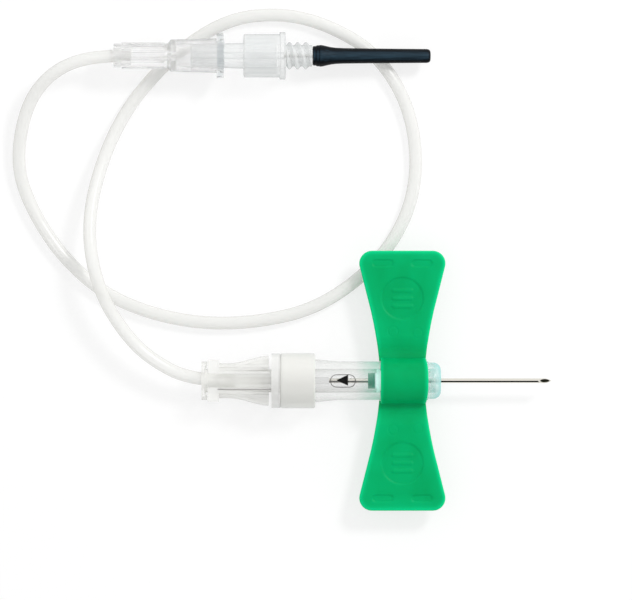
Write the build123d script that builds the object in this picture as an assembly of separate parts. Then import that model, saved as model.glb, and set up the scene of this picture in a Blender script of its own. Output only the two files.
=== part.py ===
from build123d import *
from math import cos, pi, radians, sin, tan
import os

# A winged blood collection needle with a pull-back guard, in millimetres.
# It lies on the table z = 0 as it would come to rest. +X is the needle's point and +Z is up.
# The needle, its guard and the wings are turned about the needle line, which runs along X.
# The luer connector on the tube's end has its own line, which tips down a little towards its needle.

# Clearances, all radial or face to face
slide_gap = 0.06
hinge_gap = 0.06
bond_gap = 0.02
taper_gap = 0.02

# Needle
cannula_d = 0.82
cannula_bore_d = 0.51
needle_exposed = 19.05
cannula_behind_hub = 8.2
bevel_length = 2.3
lancet_angle = 25.0
lancet_turn = 42.0

# Lengths along the needle line, from the back to the point
grip_length = 11.6
grip_gap = 0.45
barrel_length = 29.2

# Guard barrel
shaft_d = 4.0
barrel_flange_step = 0.05
barrel_flange_length = 1.5
collar_seat_d = 7.9
barrel_root_d = 7.4
barrel_d = 6.66
barrel_taper = 4.1
nose_d = 6.28
nose_length = 2.2
nose_round = 1.35
nose_wall = 0.9
nose_hole_gap = 0.18
arrow_pocket_length = 4.3
arrow_pocket_width = 2.13
arrow_pocket_depth = 0.35
arrow_pocket_from_collar = 4.75

# Collar on the barrel's rear end
collar_wall = 0.8
collar_length = 6.05
collar_chamfer = 0.25

# Needle hub
hub_body_length = 7.6
hub_waist_d = 3.5
hub_rim_length = 0.6
hub_nose_length = 2.3
hub_nose_tip_d = 3.0
hub_spigot_d = 2.7
hub_spigot_length = 1.47
hub_from_nose = 3.5

# Pull grip
grip_core_rear_d = 3.2
grip_core_front_d = 3.9
grip_waist_d = 6.0
grip_mouth_d = 8.6
grip_straight = 4.6
grip_web = 0.8
grip_rail_wall = 0.6
grip_rail_height = 1.9
fin_wall = 0.42
fin_inner_pitch = 2.9
fin_outer_pitch = 5.2
fin_start = 3.0
ear_span = 7.2
ear_length = 1.95
ear_height = 2.4
lip_d = 6.6
lip_length = 0.95
lip_root_length = 0.45
lip_height = 3.8
ear_from_lip = 0.1
tail_ring_d = 4.0
lumen_d = 1.2
grip_socket_depth = 5.75

# Wings and their sleeve
sleeve_wall = 0.7
sleeve_length = 8.2
sleeve_round = 0.22
hinge_from_sleeve = 0.47
hinge_bead_d = 1.0
cradle_d = 1.9
cradle_start = 134.0
cradle_end = 292.0
wing_set_back = 0.35
wing_tip_from_line = 22.4
wing_root_width = 8.1
wing_waist_width = 10.84
wing_waist_from_line = 12.0
wing_flank_hollow = 0.07
wing_tip_width = 16.1
wing_corner = 2.2
wing_thickness = 1.0
wing_fold_thickness = 0.5
wing_fold_to = 5.7
wing_full_from = 7.5
wing_edge_round = 0.3
pad_d = 7.25
pad_from_line = 14.2
pad_depth = 0.15
pad_bars = 3
pad_bar_length = 3.6
pad_bar_width = 0.55
pad_bar_pitch = 1.35
pad_bar_height = 0.12
slot_length = 3.6
slot_width = 1.2
slot_spread = 6.7
slot_from_line = 20.25

# Tubing
tube_d = 2.2
tube_lead_out = 1.83
connector_lead_out = 3.0
mouth_flare = 0.5
mouth_flare_length = 2.4

# Luer connector: where the tube enters it, and how far its line tips down
connector_x = -45.3
connector_y = 56.0
connector_z = 5.85
connector_tilt = 2.44

# Female luer hub
luer_mouth_ring_d = 4.1
luer_mouth_ring_length = 1.4
luer_grip_d = 4.7
luer_grip_length = 7.3
luer_waist_d = 4.2
luer_waist_length = 0.6
luer_shoulder_length = 0.6
luer_body_d = 5.56
luer_body_length = 8.5
luer_body_end_d = 6.0
luer_flange_d = 6.6
luer_flange_length = 0.55
luer_lug_span = 7.7
luer_lug_length = 1.2
luer_lug_width = 3.2
luer_socket_depth = 3.0
luer_mouth_d = 4.276
luer_taper = 0.06
luer_cone_depth = 8.2
flute_count = 8
flute_d = 1.0
flute_depth = 0.32

# Male luer adapter
taper_engaged = 5.6
adapter_neck = 3.5
skirt_d = 7.48
skirt_wall = 0.62
skirt_length = 6.2
flange_d = 8.2
flange_length = 0.95
thread_d = 4.7
thread_length = 4.65
nipple_d = 2.3
nipple_length = 3.2

# Rear needle and its rubber sleeve
rear_cannula_d = 0.72
rear_cannula_bore_d = 0.42
rear_cannula_bonded = 8.0
rear_point_gap = 1.0
rear_bevel_length = 1.6
rubber_rear_d = 3.42
rubber_mouth_slope = 0.5
rubber_bead_d = 3.8
rubber_neck_d = 2.7
rubber_end_d = 2.38
rubber_bead_at = 1.15
rubber_neck_at = 3.9
rubber_length = 20.35
rubber_bore_d = 1.5
rubber_end_wall = 1.1
rubber_end_round = 0.5

# Sizes and stations that follow from the sizes above
collar_d = collar_seat_d + 2 * collar_wall
barrel_flange_d = collar_d - 2 * barrel_flange_step
sleeve_d = barrel_d + 2 * sleeve_wall
hinge_from_line = sleeve_d / 2 + hinge_from_sleeve
axis_height = collar_d / 2
overall_length = grip_length + grip_gap + barrel_length + needle_exposed
grip_rear = -overall_length / 2
grip_front = grip_rear + grip_length
barrel_rear = grip_front + grip_gap
nose_front = barrel_rear + barrel_length
needle_tip = nose_front + needle_exposed
collar_rear = barrel_rear + barrel_flange_length
collar_front = collar_rear + collar_length
sleeve_front = nose_front - nose_length
sleeve_rear = sleeve_front - sleeve_length
hub_body_front = nose_front - hub_from_nose
hub_shoulder = hub_body_front - hub_body_length
wing_middle = (sleeve_front + sleeve_rear) / 2
hinge_bead_radius = hinge_bead_d / 2

luer_flange_front = (luer_mouth_ring_length + luer_grip_length + luer_waist_length
                     + luer_shoulder_length + luer_body_length + luer_flange_length)
adapter_tip = luer_flange_front - taper_engaged
skirt_rear = luer_flange_front + adapter_neck
adapter_flange = skirt_rear + skirt_length
thread_rear = adapter_flange + flange_length
thread_front = thread_rear + thread_length
nipple_front = thread_front + nipple_length
rear_cannula_rear = nipple_front - rear_cannula_bonded


def turned(*corners):
    """A solid of revolution about the X line, from the (station, radius) corners of its section."""
    return revolve(make_face(Polyline(*corners, close=True)), Axis.X)


def rod(start, end, diameter):
    """A plain cylinder along the X line."""
    return turned((start, 0), (end, 0), (end, diameter / 2), (start, diameter / 2))


def turned_edges(solid, station, diameter):
    """The circular edges of that diameter at that station, for rounding."""
    return [
        edge
        for edge in solid.edges().filter_by(GeomType.CIRCLE)
        if abs(edge.arc_center.X - station) < 0.001 and abs(edge.radius - diameter / 2) < 0.001
    ]


def slab(x_range, y_range, z_range):
    """A box between two stations, two sides and two heights."""
    size = [high - low for low, high in (x_range, y_range, z_range)]
    middle = [(high + low) / 2 for low, high in (x_range, y_range, z_range)]
    return Pos(*middle) * Box(*size)


def ground_point(outer_d, point, length, turn_angle=0.0, grind=None):
    """The waste that one grind takes off a tube whose point is at the bottom of its bevel."""
    radius = outer_d / 2
    slope = tan(radians(grind)) if grind else outer_d / length
    low = -radius * cos(radians(turn_angle))
    over = radius * 1.5

    def station(height):
        return point - (height - low) / slope

    corners = [(station(over), over), (station(-over), -over)]
    far = max(x for x, _ in corners) + length
    waste = make_face(Polyline(*corners, (far, -over), (far, over), close=True))
    return Rot(turn_angle, 0, 0) * extrude(Plane.XZ * waste, outer_d, both=True)


def on_needle_line(solid):
    return Pos(0, 0, axis_height) * solid


def on_connector_line(solid):
    return Pos(connector_x, connector_y, connector_z) * Rot(0, connector_tilt, 0) * solid


def connector_point(along):
    """A point on the connector's line, that far from where the tube enters it."""
    tilt = radians(connector_tilt)
    return (connector_x + along * cos(tilt), connector_y, connector_z - along * sin(tilt))


def make_cannula():
    rear = hub_shoulder - cannula_behind_hub
    inner, outer = cannula_bore_d / 2, cannula_d / 2
    tube = turned((rear, inner), (needle_tip, inner), (needle_tip, outer), (rear, outer))
    tube -= ground_point(cannula_d, needle_tip, bevel_length)
    for side in (-1, 1):
        tube -= ground_point(cannula_d, needle_tip, bevel_length, side * lancet_turn, lancet_angle)
    return on_needle_line(tube)


def make_needle_hub():
    """Rear spigot, two rims that run in the barrel, a waist between them and a tapered nose."""
    bore = cannula_d / 2 + bond_gap
    rim = shaft_d / 2
    spigot_rear = hub_shoulder - hub_spigot_length
    hub = turned(
        (spigot_rear, bore),
        (spigot_rear, hub_spigot_d / 2),
        (hub_shoulder, hub_spigot_d / 2),
        (hub_shoulder, rim),
        (hub_shoulder + hub_rim_length, rim),
        (hub_shoulder + hub_rim_length, hub_waist_d / 2),
        (hub_body_front - hub_rim_length, hub_waist_d / 2),
        (hub_body_front - hub_rim_length, rim),
        (hub_body_front, rim),
        (hub_body_front + hub_nose_length, hub_nose_tip_d / 2),
        (hub_body_front + hub_nose_length, bore),
    )
    return on_needle_line(hub)


def tube_socket(mouth, end, flare):
    """The space of a tube socket, opened a little at its mouth so that the tube can start to bend there."""
    bore = tube_d / 2 + bond_gap
    return turned((mouth, 0), (end, 0), (end, bore), (mouth + mouth_flare_length, bore), (mouth, bore + flare / 2))


def grip_envelope(shrink=0.0):
    """The flared outer form of the grip: straight at the back, then an S curve out to its mouth."""
    waist = grip_waist_d / 2 - shrink
    mouth = grip_mouth_d / 2 - shrink
    flare_start = grip_rear + grip_straight
    flare = grip_front - flare_start
    curve = Bezier(
        (flare_start, waist),
        (flare_start + 0.35 * flare, waist),
        (flare_start + 0.7 * flare, mouth),
        (grip_front, mouth),
    )
    outline = Polyline((grip_front, mouth), (grip_front, 0), (grip_rear, 0), (grip_rear, waist), (flare_start, waist))
    return revolve(make_face([*curve.edges(), *outline.edges()]), Axis.X)


def make_pull_grip():
    """One moulding: a hollow core with fins drawn along Z, ears, an end lip, and the shaft of the guard."""
    envelope = grip_envelope()
    half = grip_mouth_d / 2
    fins_from = grip_rear + fin_start
    web = slab((fins_from, grip_front), (-half, half), (-grip_web / 2, grip_web / 2))
    rails = (envelope - grip_envelope(grip_rail_wall)) & slab(
        (fins_from, grip_front), (-half, half), (-grip_rail_height / 2, grip_rail_height / 2)
    )
    grip = (web & envelope) + rails
    for pitch in (fin_inner_pitch, fin_outer_pitch):
        for side in (-1, 1):
            middle = side * pitch / 2
            fin = slab((fins_from, grip_front), (middle - fin_wall / 2, middle + fin_wall / 2), (-half, half))
            grip += fin & envelope

    core = turned(
        (grip_rear, 0),
        (grip_rear, grip_core_rear_d / 2),
        (grip_front, grip_core_front_d / 2),
        (grip_front, shaft_d / 2),
        (hub_shoulder, shaft_d / 2),
        (hub_shoulder, 0),
    )
    ear_rear = grip_rear + lip_length + ear_from_lip
    ears = slab(
        (ear_rear, ear_rear + ear_length),
        (-ear_span / 2, ear_span / 2),
        (-ear_height / 2, ear_height / 2),
    )
    lip = turned(
        (grip_rear, 0),
        (grip_rear, lip_d / 2),
        (grip_rear + lip_length, lip_d / 2),
        (grip_rear + lip_root_length, tail_ring_d / 2),
        (ear_rear, tail_ring_d / 2),
        (ear_rear, 0),
    )
    lip &= slab((grip_rear, ear_rear), (-lip_d / 2, lip_d / 2), (-lip_height / 2, lip_height / 2))
    grip += core + ears + lip

    socket_end = grip_rear + grip_socket_depth
    cannula_rear = hub_shoulder - cannula_behind_hub
    grip -= tube_socket(grip_rear, socket_end, mouth_flare)
    grip -= rod(socket_end, cannula_rear, lumen_d)
    grip -= rod(cannula_rear, hub_shoulder, cannula_d + 2 * bond_gap)
    grip -= rod(hub_shoulder - hub_spigot_length, hub_shoulder, hub_spigot_d + 2 * bond_gap)
    return on_needle_line(grip)


def make_guard_barrel():
    """The clear barrel: rear flange, seat for the collar, tapered body, stepped nose and bore."""
    bore = shaft_d / 2 + slide_gap
    nose_inside = nose_front - nose_wall
    needle_hole = cannula_d / 2 + nose_hole_gap
    barrel = turned(
        (barrel_rear, bore),
        (barrel_rear, barrel_flange_d / 2),
        (collar_rear, barrel_flange_d / 2),
        (collar_rear, collar_seat_d / 2),
        (collar_front, collar_seat_d / 2),
        (collar_front, barrel_root_d / 2),
        (collar_front + barrel_taper, barrel_d / 2),
        (sleeve_front, barrel_d / 2),
        (sleeve_front, nose_d / 2),
        (nose_front, nose_d / 2),
        (nose_front, needle_hole),
        (nose_inside, needle_hole),
        (nose_inside, bore),
    )
    barrel = fillet(turned_edges(barrel, nose_front, nose_d), nose_round)
    pocket_middle = collar_front + arrow_pocket_from_collar
    pocket_floor = barrel_d / 2 - arrow_pocket_depth
    pocket = extrude(SlotOverall(arrow_pocket_length, arrow_pocket_width), barrel_d)
    barrel -= Pos(pocket_middle, 0, pocket_floor) * pocket
    return on_needle_line(barrel)


def make_barrel_collar():
    bore = collar_seat_d / 2 + bond_gap
    outer = collar_d / 2
    collar = turned((collar_rear, bore), (collar_front, bore), (collar_front, outer), (collar_rear, outer))
    ends = turned_edges(collar, collar_rear, collar_d) + turned_edges(collar, collar_front, collar_d)
    return on_needle_line(chamfer(ends, collar_chamfer))


def hinge_cradle(side):
    """The lip that wraps the back and the underside of one wing's hinge bead."""
    outer = Cylinder(cradle_d / 2, sleeve_length)
    sector = make_face(
        [
            *Polyline(
                (cradle_d * cos(radians(cradle_end)), cradle_d * sin(radians(cradle_end))),
                (0, 0),
                (cradle_d * cos(radians(cradle_start)), cradle_d * sin(radians(cradle_start))),
            ).edges(),
            *CenterArc((0, 0), cradle_d, cradle_start, cradle_end - cradle_start).edges(),
        ]
    )
    cradle = outer & extrude(sector, sleeve_length / 2, both=True)
    across = Plane(origin=(wing_middle, hinge_from_line, 0), x_dir=(0, 1, 0), z_dir=(1, 0, 0))
    placed = across * cradle
    return placed if side > 0 else mirror(placed, Plane.XZ)


def make_wing_sleeve():
    bore = barrel_d / 2 + bond_gap
    sleeve = turned(
        (sleeve_rear, 0), (sleeve_front, 0), (sleeve_front, sleeve_d / 2), (sleeve_rear, sleeve_d / 2)
    )
    ends = turned_edges(sleeve, sleeve_rear, sleeve_d) + turned_edges(sleeve, sleeve_front, sleeve_d)
    sleeve = fillet(ends, sleeve_round)
    for side in (-1, 1):
        sleeve += hinge_cradle(side)
    for side in (-1, 1):
        groove = rod(sleeve_rear - 1, sleeve_front + 1, hinge_bead_d + 2 * hinge_gap)
        sleeve -= Pos(0, side * hinge_from_line, 0) * groove
    sleeve -= rod(sleeve_rear, sleeve_front, 2 * bore)
    return on_needle_line(sleeve)


def wing_plan():
    """Half outline of a wing in plan, from its hinge bead to its tip, mirrored about its middle."""
    root_y = hinge_from_line - hinge_bead_radius
    root, waist, tip = wing_root_width / 2, wing_waist_width / 2, wing_tip_width / 2
    bend_y = (hinge_from_line + wing_waist_from_line) / 2
    bend = (root + waist) / 2 - wing_flank_hollow
    flank = Spline((root, root_y), (bend, bend_y), (waist, wing_waist_from_line))
    side = Polyline((waist, wing_waist_from_line), (tip, wing_tip_from_line), (0, wing_tip_from_line))
    back = Polyline((0, root_y), (root, root_y))
    right = [*flank.edges(), *side.edges(), *back.edges()]
    left = [mirror(edge, Plane.YZ) for edge in right]
    plan = make_face([*right[:-1], *left[:-1], Line((-root, root_y), (root, root_y))])
    corners = [v for v in plan.vertices() if abs(v.Y - wing_tip_from_line) < 0.001 and abs(abs(v.X) - tip) < 0.001]
    return fillet(corners, wing_corner)


def wing_side_profile():
    """Bead, thin fold and full plate, as seen along the fold."""
    fold, full = wing_fold_thickness / 2, wing_thickness / 2
    plate = make_face(
        Polyline(
            (hinge_from_line, fold),
            (wing_fold_to, fold),
            (wing_full_from, full),
            (wing_tip_from_line, full),
            (wing_tip_from_line, -full),
            (wing_full_from, -full),
            (wing_fold_to, -fold),
            (hinge_from_line, -fold),
            close=True,
        )
    )
    return plate + Pos(hinge_from_line, 0) * Circle(hinge_bead_radius)


def make_wing(side):
    half = wing_thickness / 2
    plate = Pos(0, 0, -half) * extrude(wing_plan(), wing_thickness)
    rims = [
        edge
        for edge in plate.edges().filter_by(lambda e: abs(abs(e.center().Z) - half) < 0.001)
        if edge.center().Y > hinge_from_line
    ]
    plate = fillet(rims, wing_edge_round)
    profile = Plane(origin=(0, 0, 0), x_dir=(0, 1, 0), z_dir=(1, 0, 0)) * wing_side_profile()
    wing = plate & extrude(profile, wing_tip_width, both=True)

    pad = Pos(0, pad_from_line, half - pad_depth) * extrude(Circle(pad_d / 2), wing_thickness)
    wing -= pad
    bar = extrude(SlotOverall(pad_bar_length, pad_bar_width), pad_depth + pad_bar_height)
    for place in range(pad_bars):
        offset = (place - (pad_bars - 1) / 2) * pad_bar_pitch
        wing += Pos(0, pad_from_line + offset, half - 2 * pad_depth) * bar
    slot = extrude(SlotOverall(slot_length, slot_width), wing_thickness)
    for end in (-1, 1):
        wing -= Pos(end * slot_spread / 2, slot_from_line, half - pad_depth) * slot
    wing = Pos(wing_middle - wing_set_back, 0, 0) * wing
    return on_needle_line(wing if side > 0 else mirror(wing, Plane.XZ))


# The tube's line, from inside the grip round to inside the connector.
# It passes over itself, lies on the table under a wing and under the connector, and rises to the luer hub.
tube_radius = tube_d / 2
tube_route = [
    (grip_rear + grip_socket_depth, 0, axis_height),
    (grip_rear - tube_lead_out, 0, axis_height),
    (-39.2, 3.9, 5.2),
    (-43.4, 8.2, 5.8),
    (-47.2, 14.3, 6.3),
    (-49.3, 21.6, 6.3),
    (-49.5, 29.3, 4.8),
    (-47.3, 38.2, 2.6),
    (-43.7, 46.0, tube_radius),
    (-39.0, 52.2, tube_radius),
    (-32.3, 58.5, tube_radius),
    (-24.5, 62.8, tube_radius),
    (-15.6, 63.4, tube_radius),
    (-8.0, 61.3, tube_radius),
    (-0.5, 56.9, tube_radius),
    (4.8, 49.4, tube_radius),
    (7.0, 40.6, tube_radius),
    (6.5, 31.9, tube_radius),
    (3.1, 24.1, tube_radius),
    (-2.6, 17.7, tube_radius),
    (-10.5, 12.5, tube_radius),
    (-19.1, 10.3, tube_radius),
    (-28.7, 9.7, tube_radius),
    (-38.3, 11.3, tube_radius),
    (-47.0, 14.9, tube_radius),
    (-54.0, 21.1, tube_radius),
    (-58.9, 28.3, tube_radius),
    (-61.9, 35.6, tube_radius),
    (-61.6, 42.8, 2.0),
    (-59.4, 49.4, 3.7),
    (-54.8, 54.0, 5.4),
    connector_point(-connector_lead_out),
    connector_point(luer_socket_depth),
]


def corner_radii(points):
    """The largest arc that each corner's two runs leave room for."""
    radii = []
    for before, corner, after in zip(points, points[1:], points[2:]):
        run_in = Vector(corner) - Vector(before)
        run_out = Vector(after) - Vector(corner)
        turn_angle = radians(run_in.get_angle(run_out))
        radii.append(0.45 * min(run_in.length, run_out.length) / tan(turn_angle / 2))
    return radii


def make_tubing():
    radii = corner_radii(tube_route)
    path = FilletPolyline(*tube_route, radius=radii)
    start = Plane(origin=path @ 0, z_dir=path % 0)
    tube = sweep(start * Circle(tube_radius), path)
    expected = pi * tube_radius**2 * path.length
    print("tube radii", [round(radius, 1) for radius in radii])
    print("tube length", round(path.length, 1), "volume", round(tube.volume, 2), "expected", round(expected, 2))
    return tube


def luer_radius(station):
    """Radius of the luer cone at a station of the connector, from its size at the hub's mouth."""
    return luer_mouth_d / 2 + luer_taper / 2 * (station - luer_flange_front)


def make_luer_hub():
    grip_end = luer_mouth_ring_length + luer_grip_length
    waist_end = grip_end + luer_waist_length
    body_start = waist_end + luer_shoulder_length
    body_end = body_start + luer_body_length
    hub = turned(
        (0, 0),
        (0, luer_mouth_ring_d / 2),
        (luer_mouth_ring_length, luer_mouth_ring_d / 2),
        (luer_mouth_ring_length, luer_grip_d / 2),
        (grip_end, luer_grip_d / 2),
        (grip_end, luer_waist_d / 2),
        (waist_end, luer_waist_d / 2),
        (body_start, luer_body_d / 2),
        (body_end, luer_body_end_d / 2),
        (body_end, luer_flange_d / 2),
        (luer_flange_front, luer_flange_d / 2),
        (luer_flange_front, 0),
    )
    flute = rod(luer_mouth_ring_length, grip_end, flute_d)
    flute = Pos(0, 0, luer_grip_d / 2 + flute_d / 2 - flute_depth) * flute
    for place in range(flute_count):
        hub -= Rot(360 / flute_count * (place + 0.5), 0, 0) * flute

    lug_bar = slab(
        (luer_flange_front - luer_lug_length, luer_flange_front),
        (-luer_lug_span / 2, luer_lug_span / 2),
        (-luer_lug_width / 2, luer_lug_width / 2),
    )
    hub += lug_bar & rod(luer_flange_front - luer_lug_length, luer_flange_front, luer_lug_span)

    cone_start = luer_flange_front - luer_cone_depth
    hub -= tube_socket(0, luer_socket_depth, mouth_flare / 2)
    hub -= rod(luer_socket_depth, cone_start, lumen_d)
    hub -= turned(
        (cone_start, 0),
        (luer_flange_front, 0),
        (luer_flange_front, luer_radius(luer_flange_front)),
        (cone_start, luer_radius(cone_start)),
    )
    return on_connector_line(hub)


def make_luer_adapter():
    """Male taper, open skirt, flange, holder thread at its major diameter, and the sleeve's nipple."""
    inside_skirt = adapter_flange - skirt_wall
    adapter = turned(
        (adapter_tip, lumen_d / 2),
        (adapter_tip, luer_radius(adapter_tip) - taper_gap),
        (inside_skirt, luer_radius(inside_skirt) - taper_gap),
        (inside_skirt, skirt_d / 2 - skirt_wall),
        (skirt_rear, skirt_d / 2 - skirt_wall),
        (skirt_rear, skirt_d / 2),
        (adapter_flange, skirt_d / 2),
        (adapter_flange, flange_d / 2),
        (thread_rear, flange_d / 2),
        (thread_rear, thread_d / 2),
        (thread_front, thread_d / 2),
        (thread_front, nipple_d / 2),
        (nipple_front, nipple_d / 2),
        (nipple_front, rear_cannula_d / 2 + bond_gap),
        (rear_cannula_rear, rear_cannula_d / 2 + bond_gap),
        (rear_cannula_rear, lumen_d / 2),
    )
    rims = turned_edges(adapter, adapter_flange, flange_d) + turned_edges(adapter, thread_rear, flange_d)
    adapter = fillet(rims, flange_length / 4)
    return on_connector_line(adapter)


def make_rear_cannula():
    point = thread_front + rubber_length - rubber_end_wall - rear_point_gap
    inner, outer = rear_cannula_bore_d / 2, rear_cannula_d / 2
    tube = turned((rear_cannula_rear, inner), (point, inner), (point, outer), (rear_cannula_rear, outer))
    tube -= ground_point(rear_cannula_d, point, rear_bevel_length)
    return on_connector_line(tube)


def make_rubber_sleeve():
    """A closed rubber sleeve with a bead over the nipple and a long thin body."""
    start = thread_front
    end = start + rubber_length
    neck = start + rubber_neck_at
    grip_bore = nipple_d / 2 + bond_gap
    taper = (rubber_end_d - rubber_neck_d) / 2 / (end - neck)
    flank = Spline(
        (start, rubber_rear_d / 2),
        (start + rubber_bead_at, rubber_bead_d / 2),
        (neck, rubber_neck_d / 2),
        tangents=[(1, rubber_mouth_slope), (1, taper)],
    )
    inside = Polyline(
        (neck, rubber_neck_d / 2),
        (end, rubber_end_d / 2),
        (end, 0),
        (end - rubber_end_wall, 0),
        (end - rubber_end_wall, rubber_bore_d / 2),
        (nipple_front + bond_gap, rubber_bore_d / 2),
        (nipple_front + bond_gap, grip_bore),
        (start, grip_bore),
        (start, rubber_rear_d / 2),
    )
    sleeve = revolve(make_face([*flank.edges(), *inside.edges()]), Axis.X)
    sleeve = fillet(turned_edges(sleeve, end, rubber_end_d), rubber_end_round)
    return on_connector_line(sleeve)


nodes = {
    "cannula": make_cannula,
    "needle_hub": make_needle_hub,
    "pull_grip": make_pull_grip,
    "guard_barrel": make_guard_barrel,
    "barrel_collar": make_barrel_collar,
    "wing_sleeve": make_wing_sleeve,
    "wing_left": lambda: make_wing(1),
    "wing_right": lambda: make_wing(-1),
    "tubing": make_tubing,
    "luer_hub": make_luer_hub,
    "luer_adapter": make_luer_adapter,
    "rear_cannula": make_rear_cannula,
    "rubber_sleeve": make_rubber_sleeve,
}

os.makedirs("parts", exist_ok=True)
for name, make in nodes.items():
    export_step(make(), f"parts/{name}.step")
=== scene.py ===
# %% [markdown]
# # A butterfly needle on a white table
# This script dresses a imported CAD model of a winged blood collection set: a steel needle in a clear sliding guard, two
# green wings, a frosted pull grip, a loop of clear tube and a luer connector with a rubber covered rear needle.
# The CAD gives every rigid shape. Blender adds what CAD solids can't show: the lie of the tube, the holder thread,
# the printed arrow, and how each plastic, rubber and steel takes the light.

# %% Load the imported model
from math import cos, pi, radians, sin, tau

import bmesh
import bpy
import numpy as np
from mathutils import Matrix, Vector


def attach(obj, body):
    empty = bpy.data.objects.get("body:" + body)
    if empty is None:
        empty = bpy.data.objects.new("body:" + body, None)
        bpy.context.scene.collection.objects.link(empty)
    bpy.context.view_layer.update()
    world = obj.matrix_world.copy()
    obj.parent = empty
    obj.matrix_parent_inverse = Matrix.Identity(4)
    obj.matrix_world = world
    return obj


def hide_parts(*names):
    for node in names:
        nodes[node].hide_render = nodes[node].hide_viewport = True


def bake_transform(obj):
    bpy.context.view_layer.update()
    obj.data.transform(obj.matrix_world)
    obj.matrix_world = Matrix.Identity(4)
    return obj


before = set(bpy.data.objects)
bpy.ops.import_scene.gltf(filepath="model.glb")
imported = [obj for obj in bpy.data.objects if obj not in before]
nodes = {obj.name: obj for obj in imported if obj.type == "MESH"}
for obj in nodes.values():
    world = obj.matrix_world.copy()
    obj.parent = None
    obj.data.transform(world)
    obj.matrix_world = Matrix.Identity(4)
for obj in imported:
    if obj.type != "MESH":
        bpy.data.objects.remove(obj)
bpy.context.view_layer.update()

MM = 0.001
print("CAD nodes:", ", ".join(sorted(nodes)))

# %% [markdown]
# ## The camera
# A product photograph like this one is taken from far away with a long lens, so that the near and far parts keep the
# same scale. A 400 mm lens over the table does that. Its height follows from the width of table that it has to show.

# %% Camera
PICTURE_WIDTH = 108.97 * MM
PICTURE_CENTRE = (-10.43 * MM, 13.91 * MM)
FOCUS_HEIGHT = 4.0 * MM


def to_scene(name, data):
    """A new object that shows the data, linked to the scene."""
    made = bpy.data.objects.new(name, data)
    bpy.context.scene.collection.objects.link(made)
    return made


camera_data = bpy.data.cameras.new("long_lens")
camera_data.lens = 400.0
camera_data.sensor_width = 36.0
camera = to_scene("camera", camera_data)
camera_height = PICTURE_WIDTH * camera_data.lens / camera_data.sensor_width
camera.location = (*PICTURE_CENTRE, camera_height + FOCUS_HEIGHT)
camera_data.clip_start = 0.05
camera_data.clip_end = 10.0
bpy.context.scene.camera = camera
print(f"camera {camera_height:.3f} m above the parts")

# %% [markdown]
# ## The tube
# Thin vinyl tube is springy. It keeps the curl of the bag that it was packed in, so it lies in wide easy loops, drops
# to the table where nothing carries it, and humps low over itself where it crosses. A NURBS curve is the natural tool:
# its control points pull the line towards them and it never kinks. These are the CAD route's own points, in
# millimetres, from inside the grip round to inside the luer hub. A height of 1.1 is half the tube's thickness, where
# it lies on the table.

# %% Tube route
TUBE_DIAMETER = 2.2 * MM

tube_route_mm = [
    (-24.4, 0, 4.75), (-31.98, 0, 4.75), (-39.2, 3.9, 5.2), (-43.4, 8.2, 5.8), (-47.2, 14.3, 6.3),
    (-49.3, 21.6, 6.3), (-49.5, 29.3, 4.8), (-47.3, 38.2, 2.6), (-43.7, 46.0, 1.1), (-39.0, 52.2, 1.1),
    (-32.3, 58.5, 1.1), (-24.5, 62.8, 1.1), (-15.6, 63.4, 1.1), (-8.0, 61.3, 1.1), (-0.5, 56.9, 1.1),
    (4.8, 49.4, 1.1), (7.0, 40.6, 1.1), (6.5, 31.9, 1.1), (3.1, 24.1, 1.1), (-2.6, 17.7, 1.1),
    (-10.5, 12.5, 1.1), (-19.1, 10.3, 1.1), (-28.7, 9.7, 1.1), (-38.3, 11.3, 1.1), (-47.0, 14.9, 1.1),
    (-54.0, 21.1, 1.1), (-58.9, 28.3, 1.1), (-61.9, 35.6, 1.1), (-61.6, 42.8, 2.0), (-59.4, 49.4, 3.7),
    (-54.8, 54.0, 5.4), (-48.297, 56.0, 5.978), (-42.303, 56.0, 5.722),
]
tube_route = [Vector(point) * MM for point in tube_route_mm]
print(f"tube: {len(tube_route)} control points")

# %% [markdown]
# The curve gets a round section. Both of its ends lie hidden in sockets, so they are simply closed, which makes the
# tube one closed skin.

# %% Tube
def nurbs_tube(name, points, radius):
    """A curve object with one open NURBS spline and a round section."""
    curve = bpy.data.curves.new(name, "CURVE")
    curve.dimensions = "3D"
    spline = curve.splines.new("NURBS")
    spline.points.add(len(points) - 1)
    for point, place in zip(spline.points, points):
        point.co = (*place, 1.0)
    spline.order_u = 3
    spline.use_endpoint_u = True
    spline.resolution_u = 12
    curve.bevel_depth = radius
    curve.bevel_resolution = 8
    curve.use_fill_caps = True
    return to_scene(name, curve)


tube = nurbs_tube("tube", tube_route, TUBE_DIAMETER / 2)
control_line = sum((b - a).length for a, b in zip(tube_route, tube_route[1:]))
print(f"tube: {control_line / MM:.0f} mm from control point to control point, a little more than the curve itself")

# %% [markdown]
# ## Colours and nodes
# Colours are written as sRGB hex, as a paint program shows them, and one function turns them to the linear values that
# shaders use. One more function adds a node with its settings and links, so each material reads as a short recipe. A
# material starts as one Principled shader, whose constant values are set on its own sockets.

# %% Helpers for materials
def linear(hex_colour):
    """An sRGB hex colour as linear RGBA."""
    parts = [int(hex_colour[i : i + 2], 16) / 255 for i in (1, 3, 5)]
    return (*(c / 12.92 if c <= 0.04045 else ((c + 0.055) / 1.055) ** 2.4 for c in parts), 1.0)


def add(tree, kind, inputs=None, **settings):
    """Adds a node. inputs maps a socket's name or number to a value, or to an output that is linked to it."""
    made = tree.nodes.new(kind)
    for name, value in settings.items():
        setattr(made, name, value)
    for name, value in (inputs or {}).items():
        if isinstance(value, bpy.types.NodeSocket):
            tree.links.new(value, made.inputs[name])
        else:
            made.inputs[name].default_value = value
    return made


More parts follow.
